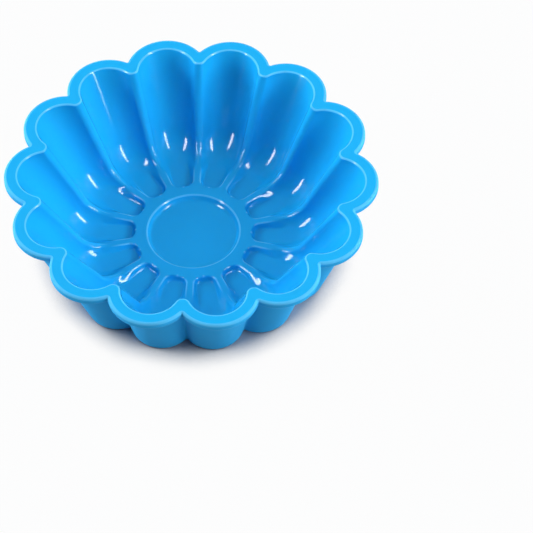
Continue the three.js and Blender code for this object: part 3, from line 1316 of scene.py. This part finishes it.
@dataclass(frozen=True)
class Softbox:
    """One soft studio light: a panel that faces the mould.

    Its azimuth is counted from +X towards +Y, so 90 degrees is behind the mould; its side is its width
    and height in metres, and its width is level unless it is rolled. Distance and aim are in metres too.
    """

    name: str
    azimuth_deg: float
    elevation_deg: float
    side: tuple[float, float]
    level: float
    role: PanelRole
    distance: float = 1.6
    roll_deg: float = 0.0
    outline: PanelOutline = PanelOutline.OBLONG
    aim: tuple[float, float, float] = (0.0, 0.0, 0.03)

    def build(self) -> bpy.types.Object:
        """Add the light.

        Its power is the level times pi squared times the distance squared, so that a white matt face
        turned to it shows the level.

        Returns:
            The new light.
        """
        data = bpy.data.lights.new(self.name, "AREA")
        data.shape = self.outline.value
        data.size, data.size_y = self.side
        data.energy = self.level * math.pi ** 2 * self.distance ** 2
        light = bpy.data.objects.new(self.name, data)
        light.visible_glossy = self.role is PanelRole.HIGHLIGHT
        light.visible_diffuse = self.role is PanelRole.FILL
        axes = facing_axes(self.azimuth_deg, self.elevation_deg, self.roll_deg)
        put_in_scene(light, axes, np.array(self.aim) + axes[:, 2] * self.distance)
        return light


@dataclass
class Studio:
    """Pale table, soft light and surroundings.

    The table is a square of twice table_half, in metres, and lies a hair under the mould's base.
    """

    table: PaleTable = field(default_factory=PaleTable)
    table_half: float = 4.0
    table_level: float = -0.0002
    table_steps: int = 8
    surroundings: str = "#f4f6f8"
    surroundings_level: float = 0.12
    front_share: float = 0.12
    pale_onset: float = 0.0
    pale_full: float = 0.5
    mirrored_share: float = 1.8
    softboxes: tuple[Softbox, ...] = (
        Softbox("right_panel", 2.0, 24.5, side=(1.8, 0.6), level=0.92, role=PanelRole.FILL),
        Softbox("left_panel", 160.0, 24.5, side=(1.8, 0.6), level=1.24, role=PanelRole.FILL),
        Softbox("front_right_panel", -42.0, 28.0, side=(1.2, 0.8), level=0.22, role=PanelRole.FILL),
        Softbox("left_low_panel", 184.0, 5.0, side=(1.2, 0.2), level=0.4, role=PanelRole.FILL),
        Softbox("right_upper_panel", -12.0, 42.0, side=(1.2, 0.8), level=0.22, role=PanelRole.FILL),
        Softbox("top_panel", 0.0, 88.0, side=(1.2, 1.2), level=0.27, role=PanelRole.FILL),
        Softbox("right_glow", -8.0, 28.0, side=(1.8, 0.7), level=0.07, role=PanelRole.HIGHLIGHT),
        Softbox("left_glow", 172.0, 18.0, side=(1.4, 0.4), level=0.02, role=PanelRole.HIGHLIGHT),
        Softbox(
            "right_strip", -22.3, 37.7, side=(1.9, 0.26), level=1.2, role=PanelRole.HIGHLIGHT,
            distance=1.5, roll_deg=66.5, outline=PanelOutline.OVAL,
        ),
        Softbox(
            "left_strip", 202.3, 37.7, side=(1.9, 0.28), level=1.3, role=PanelRole.HIGHLIGHT,
            distance=1.5, roll_deg=-66.5, outline=PanelOutline.OVAL,
        ),
    )

    def build(self) -> None:
        """Lay the table as a level grid, hang the lights and set the surroundings."""
        side = np.linspace(-self.table_half, self.table_half, self.table_steps + 1)
        x, y = np.meshgrid(side, side, indexing="ij")
        points = np.stack([x, y, np.full_like(x, self.table_level)], axis=-1).reshape(-1, 3)
        table = add_piece("table_top", points, grid_quads(side.size, side.size, closed=False).tolist())
        table.data.materials.append(self.table.material())
        for softbox in self.softboxes:
            softbox.build()
            LOG.info("%s at level %.2f", softbox.name, softbox.level)
        bpy.context.scene.world = self.room()
        bpy.context.scene.view_settings.view_transform = "Standard"

    def room(self) -> bpy.types.World:
        """Surroundings, pale behind the mould and darker in front of it.

        The strength goes from front_share of surroundings_level, where a direction's Y is at pale_onset
        or less, to the whole of it, where Y is at pale_full or more. The gloss mirrors mirrored_share
        times as much. Camera and transmission rays see plain white.

        Returns:
            The new world.
        """
        world = bpy.data.worlds.new("pale_room")
        tree = empty_tree(world)
        direction = add_node(tree, "ShaderNodeTexCoord").outputs["Generated"]
        depth = add_node(tree, "ShaderNodeSeparateXYZ", {"Vector": direction})
        strength = add_node(
            tree, "ShaderNodeMapRange", {"Value": depth.outputs["Y"]},
            {
                "From Min": self.pale_onset,
                "From Max": self.pale_full,
                "To Min": self.front_share * self.surroundings_level,
                "To Max": self.surroundings_level,
            },
            interpolation_type="SMOOTHSTEP",
        )
        ray = add_node(tree, "ShaderNodeLightPath").outputs
        gloss = add_node(
            tree, "ShaderNodeMapRange", {"Value": ray["Is Glossy Ray"]},
            {"To Min": 1.0, "To Max": self.mirrored_share},
        )
        mirrored = add_node(
            tree, "ShaderNodeMath", {0: strength.outputs["Result"], 1: gloss.outputs["Result"]},
            operation="MULTIPLY",
        )
        seen = add_node(
            tree, "ShaderNodeMath", {0: ray["Is Camera Ray"], 1: ray["Is Transmission Ray"]}, operation="ADD"
        )
        viewed = add_node(
            tree, "ShaderNodeMath", {0: mirrored.outputs[0], 1: seen.outputs[0]}, operation="MAXIMUM"
        )
        light = add_node(
            tree, "ShaderNodeBackground", {"Strength": viewed.outputs[0]},
            {"Color": linear(self.surroundings)},
        )
        add_node(tree, "ShaderNodeOutputWorld", {"Surface": light.outputs["Background"]})
        return world


@dataclass(frozen=True)
class PictureCamera:
    """Long-lens camera that stands where the picture was taken from, with no shift.

    Its azimuth is counted from +X towards +Y, so -90 degrees is in front of the mould.
    """

    azimuth_deg: float = -84.92
    elevation_deg: float = 50.57
    roll_deg: float = -2.70
    distance_mm: float = 1919.0
    focal_px: float = 3000.0
    picture_px: float = 533.0
    target_px: tuple[float, float] = (190.9, 177.3)
    sensor_mm: float = 36.0
    clip_m: tuple[float, float] = (0.05, 50.0)

    def build(self) -> bpy.types.Object:
        """Place the camera so that the middle of the rim's top falls on target_px.

        The camera first looks straight at that middle, rolled about its view, and is then turned by the
        smallest turn that takes the target pixel's ray to the middle of the picture.

        Returns:
            The new camera, set as the scene's.
        """
        look = facing_axes(self.azimuth_deg, self.elevation_deg, self.roll_deg)
        middle = self.picture_px / 2.0
        ray = np.array([self.target_px[0] - middle, middle - self.target_px[1], -self.focal_px])
        ray /= np.linalg.norm(ray)
        axis = np.cross(ray, (0.0, 0.0, -1.0))
        across = np.array([[0.0, -axis[2], axis[1]], [axis[2], 0.0, -axis[0]], [-axis[1], axis[0], 0.0]])
        swing = np.eye(3) + across + across @ across / (1.0 - ray[2])
        data = bpy.data.cameras.new("picture_camera")
        data.sensor_width = self.sensor_mm
        data.lens = self.focal_px / self.picture_px * self.sensor_mm
        data.clip_start, data.clip_end = self.clip_m
        camera = bpy.data.objects.new("picture_camera", data)
        place = np.array([0.0, 0.0, SIZES.rim_level]) + look[:, 2] * self.distance_mm
        put_in_scene(camera, look @ swing, place * MM)
        bpy.context.scene.camera = camera
        return camera


def main() -> None:
    """Build the camera, the studio and the mould, and report each."""
    logging.basicConfig(level=logging.INFO, format="%(name)s: %(message)s")
    camera = PictureCamera().build()
    LOG.info("camera with a %.0f mm lens", camera.data.lens)
    Studio().build()
    mould = FlowerMould()
    skin = mould.build()
    mould.dress(skin)
    LOG.info("%s dressed in %s", skin.name, mould.finish.name)


if __name__ == "__main__":
    main()
